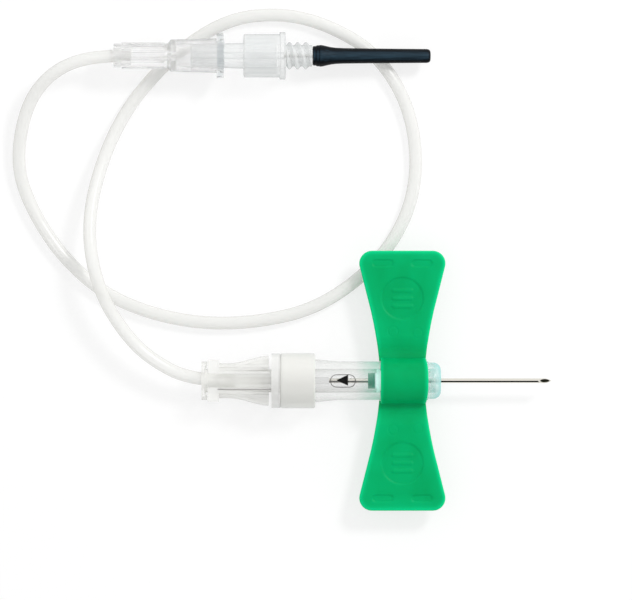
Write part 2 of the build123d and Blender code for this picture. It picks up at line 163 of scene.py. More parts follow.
def start_material(name, **sockets):
    """A new material with one Principled shader, and its tree, shader and object coordinates in metres."""
    material = bpy.data.materials.new(name)
    material.use_nodes = True
    tree = material.node_tree
    tree.nodes.clear()
    inputs = {key.replace("_", " "): value for key, value in sockets.items()}
    shader = add(tree, "ShaderNodeBsdfPrincipled", inputs)
    add(tree, "ShaderNodeOutputMaterial", {"Surface": shader.outputs["BSDF"]})
    place = add(tree, "ShaderNodeTexCoord").outputs["Object"]
    return material, tree, shader, place


print("the hex grey #808080 is", round(linear("#808080")[0], 3), "in linear light")

# %% [markdown]
# Nearly every surface drifts a little between two colours, so that recipe has a function of its own. The second
# function gives a material to pieces of the CAD model.

# %% Tint and dress
def tinted(tree, shader, factor, low, high, ends=(0.35, 0.65)):
    """Base colour that drifts between two hex colours as factor goes from one end to the other."""
    spread = add(tree, "ShaderNodeMapRange", {"Value": factor, "From Min": ends[0], "From Max": ends[1]})
    colours = {0: spread.outputs["Result"], 6: linear(low), 7: linear(high)}
    colour = add(tree, "ShaderNodeMix", colours, data_type="RGBA").outputs[2]
    tree.links.new(colour, shader.inputs["Base Color"])
    return colour


def dress(material, *names):
    """Gives the material to the CAD nodes with those names."""
    for name in names:
        piece = nodes[name]
        piece.data.materials.clear()
        piece.data.materials.append(material)
    print(material.name, "->", ", ".join(names))


print(len(nodes), "CAD nodes to dress or replace")

# %% [markdown]
# ## Needle steel
# The needles are stainless tube, drawn through a die and then polished. Drawing leaves hair-fine lines along the
# tube, which stretch a highlight across it. A metal keeps the default IOR. Real draw lines are about 0.01 mm apart,
# too fine to show, so they are drawn here at 0.05 mm, and 250 times as long.

# %% Stainless steel
DRAW_LINE, DRAW_DEPTH = 0.05 * MM, 0.0003 * MM

steel, tree, shader, place = start_material("drawn_stainless_steel", Metallic=1.0, Roughness=0.05)
stretched = add(tree, "ShaderNodeMapping", {"Vector": place, "Scale": (0.004, 1.0, 1.0)}).outputs["Vector"]
lines = add(tree, "ShaderNodeTexNoise", {"Vector": stretched, "Scale": 1 / DRAW_LINE}).outputs["Fac"]
tinted(tree, shader, lines, "#DAD7CE", "#EAE7DE")
bump = add(tree, "ShaderNodeBump", {"Height": lines, "Distance": DRAW_DEPTH, "Strength": 0.3})
tree.links.new(bump.outputs["Normal"], shader.inputs["Normal"])
dress(steel, "rear_cannula")

# %% [markdown]
# The needle's bore is never polished, and it lies in shade. It shows as an olive grey oval in the ground bevel, a
# colour that is partly unpolished steel and mostly painted shade. The distance from the needle's own line tells the
# bore from the outside.

# %% Bore of the needle
NEEDLE_HEIGHT = 4.75
BORE_RADIUS, BORE_EDGE = 0.26 * MM, 0.06 * MM

bored = steel.copy()
bored.name = "drawn_stainless_steel_bored"
tree = bored.node_tree
shader = next(node for node in tree.nodes if node.type == "BSDF_PRINCIPLED")
place = next(node for node in tree.nodes if node.type == "TEX_COORD").outputs["Object"]
polished = shader.inputs["Base Color"].links[0].from_socket
to_line = {0: place, 1: (0, 0, -NEEDLE_HEIGHT * MM)}
from_line = add(tree, "ShaderNodeVectorMath", to_line, operation="ADD").outputs[0]
across = add(tree, "ShaderNodeVectorMath", {0: from_line, 1: (0, 1, 1)}, operation="MULTIPLY").outputs[0]
radius = add(tree, "ShaderNodeVectorMath", {0: across}, operation="LENGTH").outputs["Value"]
edge = {"Value": radius, "From Min": BORE_RADIUS, "From Max": BORE_RADIUS + BORE_EDGE}
out_of_bore_shade = add(tree, "ShaderNodeMapRange", edge).outputs["Result"]
# The olive grey inside the bore is painted shade.
colours = {0: out_of_bore_shade, 6: linear("#3B3B30"), 7: polished}
colour = add(tree, "ShaderNodeMix", colours, data_type="RGBA").outputs[2]
tree.links.new(colour, shader.inputs["Base Color"])
dress(bored, "cannula")

# %% [markdown]
# ## Plastic that lets light through
# Milky plastic hides a little of what is behind it and scatters most of the light onwards. Alpha can say both: its
# whole value for the eye, and about a third of it for shadows, which are then as pale as they are under the real
# thing. Most of these mouldings also change along the needle line, which is the X axis.

# %% Cover and place
SHADOW_LOSS = 0.65


def set_cover(tree, shader, alpha):
    """Uses an alpha for sight, and the share of it that SHADOW_LOSS leaves for shadows."""
    shadow = add(tree, "ShaderNodeLightPath").outputs["Is Shadow Ray"]
    share = {0: shadow, 1: -SHADOW_LOSS, 2: 1.0}
    passing = add(tree, "ShaderNodeMath", share, operation="MULTIPLY_ADD").outputs[0]
    thinned = add(tree, "ShaderNodeMath", {0: passing, 1: alpha}, operation="MULTIPLY").outputs[0]
    tree.links.new(thinned, shader.inputs["Alpha"])


def along_x(tree, place, start, length, low, high):
    """A value that goes from low to high along X, from start over length."""
    x = add(tree, "ShaderNodeSeparateXYZ", {0: place}).outputs["X"]
    span = {"Value": x, "From Min": start, "From Max": start + length, "To Min": low, "To Max": high}
    return add(tree, "ShaderNodeMapRange", span).outputs["Result"]


print(f"shadows keep {1 - SHADOW_LOSS:.2f} of a wall's cover")

# %% [markdown]
# ## Teal hub
# The hub is injection moulded polypropylene, tinted so that the gauge can be told by colour. The tint is in the
# plastic, so its thick spigot, behind the wings, is much deeper in colour than the thin cone in the barrel's nose.
# Light that enters the cone runs along inside the plastic and leaves at the rim beside the spigot, as it does at the
# edge of a clear ruler. The renderer doesn't carry it there, so the rim is painted near white, a painted highlight,
# and gives off a little light of its own.

# %% Teal hub
SPIGOT_END, RIM_END, CONE_START = -0.35 * MM, 0.7 * MM, 0.8 * MM
HUB_WAVE, HUB_WAVE_HEIGHT = 0.8 * MM, 0.002 * MM
BLACK = linear("#000000")

teal, tree, shader, place = start_material(
    "tinted_moulded_polypropylene", Roughness=0.18, IOR=1.49, Emission_Strength=1.0
)
past_spigot = along_x(tree, place, SPIGOT_END, 0.25 * MM, 0.0, 1.0)
# The near-white rim colour is a painted highlight.
colours = {0: past_spigot, 6: linear("#007C5E"), 7: linear("#F4FFFE")}
spigot_and_lit_rim = add(tree, "ShaderNodeMix", colours, data_type="RGBA").outputs[2]
in_cone = along_x(tree, place, CONE_START, 1.0 * MM, 0.0, 1.0)
colours = {0: in_cone, 6: spigot_and_lit_rim, 7: linear("#C2FAF7")}
colour = add(tree, "ShaderNodeMix", colours, data_type="RGBA").outputs[2]
tree.links.new(colour, shader.inputs["Base Color"])
colours = {0: past_spigot, 6: BLACK, 7: linear("#A6B2B4")}
rim_light = add(tree, "ShaderNodeMix", colours, data_type="RGBA").outputs[2]
colours = {0: along_x(tree, place, RIM_END, 0.1 * MM, 0.0, 1.0), 6: rim_light, 7: BLACK}
piped = add(tree, "ShaderNodeMix", colours, data_type="RGBA").outputs[2]
tree.links.new(piped, shader.inputs["Emission Color"])
waves = add(tree, "ShaderNodeTexNoise", {"Vector": place, "Scale": 1 / HUB_WAVE}).outputs["Fac"]
bump = add(tree, "ShaderNodeBump", {"Height": waves, "Distance": HUB_WAVE_HEIGHT})
tree.links.new(bump.outputs["Normal"], shader.inputs["Normal"])
set_cover(tree, shader, along_x(tree, place, 0.3 * MM, 1.2 * MM, 0.97, 0.2))
dress(teal, "needle_hub")

# %% [markdown]
# ## Frosted plastic
# The grip, the collar and the luer adapter are natural polypropylene. It is milky inside because it is partly
# crystalline, and the mould's spark-eroded skin leaves a fine satin grain that is about 0.1 mm across. Light goes
# through up to six such walls, one behind another, and each adds a little white. Real refraction through so many
# surfaces would need more light bounces than a renderer follows and would go grey, so each wall is a thin veil: mostly
# let through where it faces the eye and thicker at its outline, where the eye looks along the wall.

# %% Frosted polypropylene
SKIN_GRAIN, SKIN_DEPTH = 0.12 * MM, 0.006 * MM


def veil(tree, blend, low, high):
    """Alpha that goes from low, where the surface faces the eye, to high at its outline."""
    facing = add(tree, "ShaderNodeLayerWeight", {"Blend": blend}).outputs["Facing"]
    spread = {"Value": facing, "To Min": low, "To Max": high}
    return add(tree, "ShaderNodeMapRange", spread).outputs["Result"]


def frosted(name, roughness, near, outline):
    """Milky moulded plastic with one colour where it faces the eye and a darker one at its outline, as painted edge
    shade.
    """
    material, tree, shader, place = start_material(name, Roughness=roughness, IOR=1.49)
    facing = add(tree, "ShaderNodeLayerWeight", {"Blend": 0.35}).outputs["Facing"]
    # The darker colour at the outline is painted edge shade.
    tinted(tree, shader, facing, near, outline, ends=(0.35, 1.0))
    grain = {"Vector": place, "Scale": 1 / SKIN_GRAIN, "Detail": 3.0}
    skin = add(tree, "ShaderNodeTexNoise", grain).outputs["Fac"]
    bump = add(tree, "ShaderNodeBump", {"Height": skin, "Distance": SKIN_DEPTH})
    tree.links.new(bump.outputs["Normal"], shader.inputs["Normal"])
    return material, tree, shader, place


frosted_ring, tree, shader, place = frosted("natural_polypropylene_ring", 0.28, "#FBFBF7", "#E6E8E6")
set_cover(tree, shader, veil(tree, 0.4, 0.64, 0.9))
dress(frosted_ring, "barrel_collar")

# %% [markdown]
# The grip's ribbed end is thick and milky, while the shaft that runs inside the barrel is thin and so clear that only
# its outlines show. A narrow gap, dark with shade, runs along the real grip. It isn't cut here: a band of painted
# shade stands for it, at the place where the photograph shows it.

# %% Pull grip
SHAFT_FADE = -18.7 * MM
GAP_MIDDLE, GAP_HALF = (-22.7 * MM, -1.48 * MM), (4.7 * MM, 0.1 * MM)

frosted_grip, tree, shader, place = frosted("natural_polypropylene_grip", 0.3, "#FFFFFC", "#CED0CA")
in_barrel = along_x(tree, place, SHAFT_FADE, 2.5 * MM, 0.0, 1.0)
covers = {0: in_barrel, 2: veil(tree, 0.4, 0.38, 0.85), 3: veil(tree, 0.2, 0.02, 0.42)}
set_cover(tree, shader, add(tree, "ShaderNodeMix", covers).outputs[0])
axes = add(tree, "ShaderNodeSeparateXYZ", {0: place}).outputs
inside = []
for axis, middle, half in zip("XY", GAP_MIDDLE, GAP_HALF):
    limits = {0: axes[axis], 1: middle, 2: half}
    inside.append(add(tree, "ShaderNodeMath", limits, operation="COMPARE").outputs[0])
painted_gap_shade = add(tree, "ShaderNodeMath", {0: inside[0], 1: inside[1]}, operation="MULTIPLY").outputs[0]
# The dark band is painted shade of the gap.
colours = {0: painted_gap_shade, 6: shader.inputs["Base Color"].links[0].from_socket, 7: linear("#6E6860")}
colour = add(tree, "ShaderNodeMix", colours, data_type="RGBA").outputs[2]
tree.links.new(colour, shader.inputs["Base Color"])
dress(frosted_grip, "pull_grip")

# %% [markdown]
# ## Clear plastic
# The luer hub is polished clear copolyester, moulded in polished steel. What the eye sees of it is its edges, which
# bent light turns grey, and that grey is painted into the colour towards the outline, as painted edge shade. Its
# mouth, with the two lugs, looks evenly pale. The hub is one wall with open space inside, so here true refraction
# works well, eased by a little alpha. Slow waves of 3 mm and 0.01 mm high stand for the flow of the melt.

# %% Clear copolyester
MOUTH_START = -27.6 * MM
MELT_WAVE, MELT_WAVE_HEIGHT = 3.0 * MM, 0.01 * MM

clear, tree, shader, place = start_material(
    "polished_clear_copolyester", Roughness=0.04, IOR=1.5, Transmission_Weight=0.9, Alpha=0.8
)
facing = add(tree, "ShaderNodeLayerWeight", {"Blend": 0.3}).outputs["Facing"]
# The grey towards the outline is painted edge shade.
edge_shaded_wall = tinted(tree, shader, facing, "#FFFFFF", "#868E90", ends=(0.25, 0.95))
colours = {0: along_x(tree, place, MOUTH_START, 0.3 * MM, 0.0, 1.0), 6: edge_shaded_wall, 7: linear("#E2E6E7")}
colour = add(tree, "ShaderNodeMix", colours, data_type="RGBA").outputs[2]
tree.links.new(colour, shader.inputs["Base Color"])
waves = add(tree, "ShaderNodeTexNoise", {"Vector": place, "Scale": 1 / MELT_WAVE}).outputs["Fac"]
bump = add(tree, "ShaderNodeBump", {"Height": waves, "Distance": MELT_WAVE_HEIGHT})
tree.links.new(bump.outputs["Normal"], shader.inputs["Normal"])
dress(clear, "luer_hub")

# %% [markdown]
# ## Guard barrel
# The barrel is clarified polypropylene, which is clear with a trace of milk in it. Light that comes up through the
# teal hub spreads in its walls, so the nose and the stretch behind the wings look tinted although the wall is not.
# The tint is painted light in the wall's colour. It follows the hub's place along the barrel, and stays with the
# barrel when the guard slides.

# %% Colour of the barrel
TINT_START, TINT_LENGTH, NOSE_TINT_START = -3.6 * MM, 3.6 * MM, 4.0 * MM

barrel_plastic, tree, shader, place = start_material("clarified_polypropylene", Roughness=0.12, IOR=1.49)
# The greyer colour and the deeper cyan at the outline are painted edge shade.
facing = add(tree, "ShaderNodeLayerWeight", {"Blend": 0.3}).outputs["Facing"]
edge_shaded_wall = tinted(tree, shader, facing, "#FCFCFA", "#B4B8B6", ends=(0.3, 1.0))
facing = add(tree, "ShaderNodeLayerWeight", {"Blend": 0.5}).outputs["Facing"]
colours = {0: facing, 6: linear("#E2FEFC"), 7: linear("#84E4E0")}
nose = add(tree, "ShaderNodeMix", colours, data_type="RGBA").outputs[2]
in_nose = along_x(tree, place, NOSE_TINT_START, 1.0 * MM, 0.0, 1.0)
colours = {0: in_nose, 6: linear("#62DDBC"), 7: nose}
glow = add(tree, "ShaderNodeMix", colours, data_type="RGBA").outputs[2]
tint = along_x(tree, place, TINT_START, TINT_LENGTH, 0.0, 1.0)
colours = {0: tint, 6: edge_shaded_wall, 7: glow}
colour = add(tree, "ShaderNodeMix", colours, data_type="RGBA").outputs[2]
tree.links.new(colour, shader.inputs["Base Color"])
print(f"barrel tinted from {TINT_START / MM:.1f} mm forward")

# %% [markdown]
# The barrel hides most at its two ends. One is the flange behind the collar. The other is the nose's front wall,
# where bent light hides the needle. A veil doesn't bend light, so this wall is made a little cloudier instead.

# %% Cover of the barrel
FLANGE_END, FRONT_START = -17.0 * MM, 9.2 * MM
BARREL_WAVE, BARREL_WAVE_HEIGHT = 2.0 * MM, 0.01 * MM

flange = along_x(tree, place, FLANGE_END, 0.8 * MM, 0.6, 0.0)
milk = add(tree, "ShaderNodeMath", {0: tint, 1: 0.05, 2: flange}, operation="MULTIPLY_ADD").outputs[0]
front_wall = along_x(tree, place, FRONT_START, 1.2 * MM, 0.0, 0.32)
cloudy = add(tree, "ShaderNodeMath", {0: milk, 1: front_wall}).outputs[0]
parts = {0: veil(tree, 0.35, 0.05, 0.65), 1: cloudy}
set_cover(tree, shader, add(tree, "ShaderNodeMath", parts, use_clamp=True).outputs[0])
waves = add(tree, "ShaderNodeTexNoise", {"Vector": place, "Scale": 1 / BARREL_WAVE}).outputs["Fac"]
bump = add(tree, "ShaderNodeBump", {"Height": waves, "Distance": BARREL_WAVE_HEIGHT})
tree.links.new(bump.outputs["Normal"], shader.inputs["Normal"])
dress(barrel_plastic, "guard_barrel")

# %% [markdown]
# ## Green wings
# The wings and their sleeve are soft vinyl, a PVC with plasticiser. It has a satin skin, and light soaks a millimetre
# or so into it, which is why thin edges glow a lighter green. Subsurface scattering is the shader's way to say that,
# with a radius in real millimetres. The glow is painted as well: the meshes made below store a value at each point,
# and the vinyl is painted a lighter green, a painted edge glow, where that value is over 0, and a darker green,
# painted shade at the wing's root, where it is under 0.

# %% Green vinyl
VINYL_DRIFT, VINYL_GRAIN, VINYL_DEPTH = 6.0 * MM, 0.15 * MM, 0.004 * MM

vinyl, tree, shader, place = start_material(
    "soft_green_vinyl",
    Roughness=0.4,
    IOR=1.53,
    Specular_IOR_Level=0.05,
    Subsurface_Weight=0.25,
    Subsurface_Radius=(0.2, 1.0, 0.6),
    Subsurface_Scale=0.8 * MM,
)
drift = add(tree, "ShaderNodeTexNoise", {"Vector": place, "Scale": 1 / VINYL_DRIFT}).outputs["Fac"]
body_colour = tinted(tree, shader, drift, "#00A861", "#00B26B")
# Painted light: over 0 gives a painted edge glow, under 0 a painted shade at the root.
painted_light_value = add(tree, "ShaderNodeAttribute", attribute_name="painted_edge_glow_and_root_shade").outputs["Fac"]
root_shade = add(tree, "ShaderNodeMath", {0: painted_light_value, 1: -1.0}, operation="MULTIPLY").outputs[0]
colours = {0: painted_light_value, 6: body_colour, 7: linear("#06DC93")}
with_edge_glow = add(tree, "ShaderNodeMix", colours, data_type="RGBA").outputs[2]
colours = {0: root_shade, 6: with_edge_glow, 7: linear("#00713C")}
colour = add(tree, "ShaderNodeMix", colours, data_type="RGBA").outputs[2]
tree.links.new(colour, shader.inputs["Base Color"])
grain = {"Vector": place, "Scale": 1 / VINYL_GRAIN, "Detail": 3.0}
skin = add(tree, "ShaderNodeTexNoise", grain).outputs["Fac"]
bump = add(tree, "ShaderNodeBump", {"Height": skin, "Distance": VINYL_DEPTH})
tree.links.new(bump.outputs["Normal"], shader.inputs["Normal"])
print("green vinyl mixed:", len(tree.nodes), "nodes")

# %% [markdown]
# ## Clear tube
# The tube is extruded vinyl with plasticiser in it, slightly milky and faintly warm. It is made like a window with a
# thin curtain: some light goes through and the rest is scattered back. Its shadow is not thinned as theirs are.

# %% Tube vinyl
TUBE_WAVE, TUBE_WAVE_HEIGHT = 1.2 * MM, 0.01 * MM

tube_vinyl, tree, shader, place = start_material("extruded_clear_vinyl", Roughness=0.22, IOR=1.53)
facing = add(tree, "ShaderNodeLayerWeight", {"Blend": 0.4}).outputs["Facing"]
# The greyer colour at the outline is painted edge shade.
tinted(tree, shader, facing, "#FBFBF8", "#E6E5DF", ends=(0.3, 1.0))
tree.links.new(veil(tree, 0.4, 0.5, 0.75), shader.inputs["Alpha"])
waves = add(tree, "ShaderNodeTexNoise", {"Vector": place, "Scale": 1 / TUBE_WAVE}).outputs["Fac"]
bump = add(tree, "ShaderNodeBump", {"Height": waves, "Distance": TUBE_WAVE_HEIGHT})
tree.links.new(bump.outputs["Normal"], shader.inputs["Normal"])
tube.data.materials.append(tube_vinyl)
print(tube_vinyl.name, "->", tube.name)

# %% [markdown]
# ## Black rubber
# The rear needle's sleeve is moulded black rubber. It is almost without colour, with a broad dull highlight from a
# skin that is rough at about 0.05 mm, drawn here at 0.15 mm. Its colour is painted lighter and a little blue where the
# surface faces up, a painted top light and sky reflection, in faint streaks along its length.

# %% Black rubber
RUBBER_GRAIN, RUBBER_DEPTH, PAINTED_LIGHT_STREAK = 0.15 * MM, 0.012 * MM, 0.25 * MM

rubber, tree, shader, place = start_material(
    "moulded_black_rubber", Roughness=0.5, IOR=1.52, Specular_IOR_Level=0.1
)
normal = add(tree, "ShaderNodeNewGeometry").outputs["Normal"]
up = add(tree, "ShaderNodeSeparateXYZ", {0: normal}).outputs["Z"]
stretched = add(tree, "ShaderNodeMapping", {"Vector": place, "Scale": (0.06, 1, 1)}).outputs[0]
streaks = add(tree, "ShaderNodeTexNoise", {"Vector": stretched, "Scale": 1 / PAINTED_LIGHT_STREAK}).outputs["Fac"]
# The colour is painted lighter and bluer where the surface faces up: painted top light, broken into streaks.
painted_top_light = add(tree, "ShaderNodeMath", {0: streaks, 1: 0.35, 2: up}, operation="MULTIPLY_ADD").outputs[0]
tinted(tree, shader, painted_top_light, "#060B11", "#2A404E", ends=(0.92, 1.28))
grain = {"Vector": place, "Scale": 1 / RUBBER_GRAIN, "Detail": 3.0}
skin = add(tree, "ShaderNodeTexNoise", grain).outputs["Fac"]
bump = add(tree, "ShaderNodeBump", {"Height": skin, "Distance": RUBBER_DEPTH})
tree.links.new(bump.outputs["Normal"], shader.inputs["Normal"])
print("black rubber mixed:", len(tree.nodes), "nodes")

# %% [markdown]
# ## Turned pieces
# Many small mouldings are round about one line, so a lathe function makes them: it takes the outline of the section
# and spins it. Corners are rounded first, because no moulded edge is truly sharp and the round is what catches light.

# %% Rounded outlines
def rounded(outline, radius, steps=3):
    """The outline with each corner turned into a small curve."""
    soft = []
    count = len(outline)
    for i, corner in enumerate(outline):
        here = Vector(corner)
        before, after = Vector(outline[i - 1]), Vector(outline[(i + 1) % count])
        reach = min(radius, (before - here).length * 0.45, (after - here).length * 0.45)
        start = here + (before - here).normalized() * reach
        end = here + (after - here).normalized() * reach
        for step in range(steps + 1):
            t = step / steps
            soft.append(tuple((1 - t) ** 2 * start + 2 * t * (1 - t) * here + t**2 * end))
    return soft


print("a rounded square has", len(rounded([(0, 0), (1, 0), (1, 1), (0, 1)], 0.1)), "points")

# %% [markdown]
# The spun points make rings, and neighbouring rings are joined by faces. Points that fall together on the line are
# welded, and the faces are all turned outwards. Two lines are needed: the needle's, and the luer connector's, which
# tips down a little along its length.

# %% Lathe
SEGMENTS = 96
CONNECTOR_START = Vector((-45.3, 56.0, 5.85)) * MM
CONNECTOR_TILT = radians(2.44)
connector_place = Matrix.Translation(CONNECTOR_START) @ Matrix.Rotation(CONNECTOR_TILT, 4, "Y")
needle_place = Matrix.Translation((0, 0, NEEDLE_HEIGHT * MM))


def spun(outline, swell):
    """The points and faces of a closed outline of (station, radius) points that is spun about X."""
    points, faces = [], []
    for station, radius in outline:
        for i in range(SEGMENTS):
            angle = tau * i / SEGMENTS
            r = swell(station, angle, radius) if swell else radius
            points.append((station, r * cos(angle), r * sin(angle)))
    for a in range(len(outline)):
        b = (a + 1) % len(outline)
        if outline[a][1] == outline[b][1] == 0:
            continue
        for i in range(SEGMENTS):
            j = (i + 1) % SEGMENTS
            faces.append((a * SEGMENTS + i, b * SEGMENTS + i, b * SEGMENTS + j, a * SEGMENTS + j))
    return points, faces


def lathe(name, outline, line, swell=None):
    """An object turned from an outline in millimetres, about a line that a matrix sets in place."""
    points, faces = spun([(x * MM, r * MM) for x, r in outline], swell)
    mesh = bpy.data.meshes.new(name)
    mesh.from_pydata(points, [], faces)
    welded = bmesh.new()
    welded.from_mesh(mesh)
    bmesh.ops.remove_doubles(welded, verts=welded.verts, dist=1e-7)
    bmesh.ops.recalc_face_normals(welded, faces=welded.faces)
    welded.to_mesh(mesh)
    welded.free()
    mesh.transform(line)
    mesh.validate()
    mesh.shade_smooth()
    mesh.set_sharp_from_angle(angle=radians(40))
    print(f"{name}: {len(mesh.vertices)} points")
    return to_scene(name, mesh)


print(f"each ring has {SEGMENTS} points")

# %% [markdown]
# ## The wings
# One soft moulding makes the sleeve and both wings. Each wing is a plate about a millimetre thick with rounded rims
# and a thin fold at its root, and its top has shallow sunken places: a disc with three raised bars, two slots, and the
# small round marks that the ejector pins leave. A grid of points handles all of that: each point takes its height
# from how far it is from the outline and from the sunken shapes, so the steps come out softly rounded, as moulded
# ones are. First comes the outline, in millimetres, with y as the distance from the needle line.

# %% Wing outline
WING_MIDDLE = 4.45
WING_ROOT_Y, WING_TIP_Y = 3.4, 22.4
CORNER_CENTRE, CORNER_RADIUS = (5.224, 20.2), 2.2
FLANK_STEPS, TIP_STEPS = 240, 60
flank = [(3.0, 3.98), (4.0, 4.05), (6.0, 4.29), (8.25, 4.665), (10.0, 4.99), (12.0, 5.42), (19.66, 7.357)]


def half_width(y):
    """Half the wing's width, in millimetres, at a distance y from the needle line."""
    if y < flank[-1][0]:
        return float(np.interp(y, *zip(*flank)))
    rise = min(max(y - CORNER_CENTRE[1], -CORNER_RADIUS), CORNER_RADIUS)
    return CORNER_CENTRE[0] + (CORNER_RADIUS**2 - rise**2) ** 0.5


def wing_outline():
    """Closely spaced points along one flank, round the corner and along the tip, and the same mirrored."""
    turns = [sin(pi / 2 * i / FLANK_STEPS) for i in range(FLANK_STEPS + 1)]
    ys = [WING_ROOT_Y + (WING_TIP_Y - WING_ROOT_Y) * turn for turn in turns]
    side = [(half_width(y), y) for y in ys]
    tip = [(CORNER_CENTRE[0] * (1 - i / TIP_STEPS), WING_TIP_Y) for i in range(TIP_STEPS + 1)]
    right = np.array(side + tip)
    return np.vstack([right, right * (-1, 1)])


print(f"wing {2 * half_width(CORNER_CENTRE[1]):.1f} mm wide near its tip")

# %% [markdown]
# The heights come next. A sunken shape is described by the distance from its edge, which is less than 0 inside it,
# and a soft step turns that distance into a depth. The plate itself is thick at the root, thinnest at the fold and
# plain beyond it.

# %% Wing heights
RIM_ROUND = 0.3
PLATE_Y, PLATE_HALF = [3.4, 4.0, 4.5, 5.1, 5.7, 7.5], [1.0, 0.62, 0.36, 0.25, 0.25, 0.5]
SUNK, STEP_WIDTH = 0.15, 0.16
DISC_CENTRE_Y, DISC_RADIUS = 14.2, 3.625
BAR_PITCH, BAR_SIZE, BAR_HEIGHT = 1.35, (3.6, 0.55), 0.12
SLOT_X, SLOT_Y, SLOT_SIZE = 3.35, 20.25, (3.6, 1.2)
EJECTOR_MARKS, MARK_HALF_WIDTH, MARK_DEPTH = [(-1.6, 8.45, 0.85), (2.6, 8.2, 0.85)], 0.1, 0.04


def below(distance):
    """1 inside a sunken shape and 0 outside it, over a soft step, from the distance past its edge."""
    t = np.clip(0.5 - distance / STEP_WIDTH, 0, 1)
    return t * t * (3 - 2 * t)


def pill(x, y, length, width):
    """Distance from the edge of a slot with round ends that lies along X."""
    reach = (length - width) / 2
    return np.hypot(x - np.clip(x, -reach, reach), y) - width / 2


def half_thickness(y, edge):
    """Half the plain plate's thickness, which rounds off over the last bit before the outline."""
    inside = np.clip(edge, 0, RIM_ROUND)
    return np.interp(y, PLATE_Y, PLATE_HALF) - RIM_ROUND + np.sqrt(RIM_ROUND**2 - (RIM_ROUND - inside) ** 2)


def top_height(x, y, edge):
    """Height of the wing's top over its middle plane, in millimetres."""
    disc = below(np.hypot(x, y - DISC_CENTRE_Y) - DISC_RADIUS)
    bars = sum(below(pill(x, y - DISC_CENTRE_Y - k * BAR_PITCH, *BAR_SIZE)) for k in (-1, 0, 1))
    slots = sum(below(pill(x - k * SLOT_X, y - SLOT_Y, *SLOT_SIZE)) for k in (-1, 1))
    marks = sum(below(abs(np.hypot(x - a, y - b) - r) - MARK_HALF_WIDTH) for a, b, r in EJECTOR_MARKS)
    return half_thickness(y, edge) - SUNK * (disc + slots) + BAR_HEIGHT * bars * disc - MARK_DEPTH * marks


print(f"wing {2 * min(PLATE_HALF)} mm thick at the fold and {2 * PLATE_HALF[-1]} mm beyond it")

# %% [markdown]
# The grid has more points near the flanks and the tip, where the rim turns. The same grid serves the top and the
# bottom, and a band of faces closes the rim between them.

# %% Wing grid
WING_COLUMNS, WING_ROWS = 120, 130


def wing_grid():
    """Arrays of x, of y and of the distance from the outline, one row of points after another."""
    u = np.sin(np.linspace(-pi / 2, pi / 2, WING_COLUMNS + 1))
    t = np.linspace(0, 1, WING_ROWS + 1)
    rows = WING_ROOT_Y + (WING_TIP_Y - WING_ROOT_Y) * (0.35 * t + 0.65 * np.sin(t * pi / 2))
    x = np.array([half_width(y) * u for y in rows])
    y = np.repeat(rows[:, None], len(u), axis=1)
    flat = np.stack([x.ravel(), y.ravel()], axis=1)
    apart = flat[:, None, :] - wing_outline()[None, :, :]
    edge = np.min(np.hypot(*apart.transpose(2, 0, 1)), axis=1).reshape(x.shape)
    edge[:, 0] = edge[:, -1] = edge[-1, :] = 0
    return x, y, edge


def wing_faces():
    """Faces of the top, of the bottom, whose points follow the top's, and of the rim."""
    across, count = WING_COLUMNS + 1, (WING_COLUMNS + 1) * (WING_ROWS + 1)
    faces = []
    for r in range(WING_ROWS):
        for c in range(WING_COLUMNS):
            a, b = r * across + c, (r + 1) * across + c
            faces += [(a, a + 1, b + 1, b), (count + a, count + b, count + b + 1, count + a + 1)]
    loop = [r * across for r in range(WING_ROWS + 1)]
    loop += [WING_ROWS * across + c for c in range(1, across)]
    loop += [r * across + across - 1 for r in range(WING_ROWS - 1, -1, -1)]
    loop += list(range(across - 2, 0, -1))
    for a, b in zip(loop, loop[1:] + loop[:1]):
        faces.append((a, b, count + b, count + a))
    return faces


print(f"wing grid: {len(wing_faces())} faces")

# %% [markdown]
# Each wing takes the grid to its place and stores a value for the vinyl's painted light: 1 for a painted glow at a
# thin edge, 0 in the middle, and less than 0 for painted shade in the crease at the root. The wing folds at its root.

# %% Wings
FOLD_START, FOLD_LENGTH = 4.0, 3.5


def store_painted_light(mesh, values):
    """Stores each point's value for the vinyl's painted edge glow and painted root shade."""
    painted_light_value = mesh.attributes.new("painted_edge_glow_and_root_shade", "FLOAT", "POINT")
    painted_light_value.data.foreach_set("value", values)


def wing_mesh(side):
    """A closed wing: side is 1 for the left wing, towards +Y, and -1 for the right one."""
    x, y, edge = wing_grid()
    heights = (top_height(x, y, edge), -half_thickness(y, edge))
    points = [np.stack([x + WING_MIDDLE, side * y, NEEDLE_HEIGHT + z], axis=-1).reshape(-1, 3) for z in heights]
    faces = wing_faces() if side > 0 else [face[::-1] for face in wing_faces()]
    mesh = bpy.data.meshes.new("wing")
    mesh.from_pydata((np.vstack(points) * MM).tolist(), [], faces)
    out_of_root = np.clip((y - FOLD_START) / FOLD_LENGTH, 0, 1)
    # The next two lines paint a glow near the outline and a shade at the root.
    glow = 0.25 * np.clip(1 - edge / 3.0, 0, 1) + 0.75 * np.clip(1 - edge / 0.9, 0, 1) ** 1.5
    edge_glow_and_root_shade = (glow * (0.3 + 0.7 * out_of_root) - 0.25 * (1 - out_of_root) ** 2).ravel()
    store_painted_light(mesh, np.concatenate([edge_glow_and_root_shade, edge_glow_and_root_shade]))
    mesh.shade_smooth()
    mesh.set_sharp_from_angle(angle=radians(50))
    return mesh


for name, side in (("wing_left", 1), ("wing_right", -1)):
    wing = to_scene(f"{name}_vinyl", wing_mesh(side))
    wing.data.materials.append(vinyl)
    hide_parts(name)
    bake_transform(wing)
    print(f"{wing.name}: {len(wing.data.polygons)} faces")

# %% [markdown]
# The sleeve is a short turned tube. Its front edge isn't straight: beside the wings, which pull on it, it lies further
# back. Its ends are thin, so they get the painted lighter green of edge glow too.

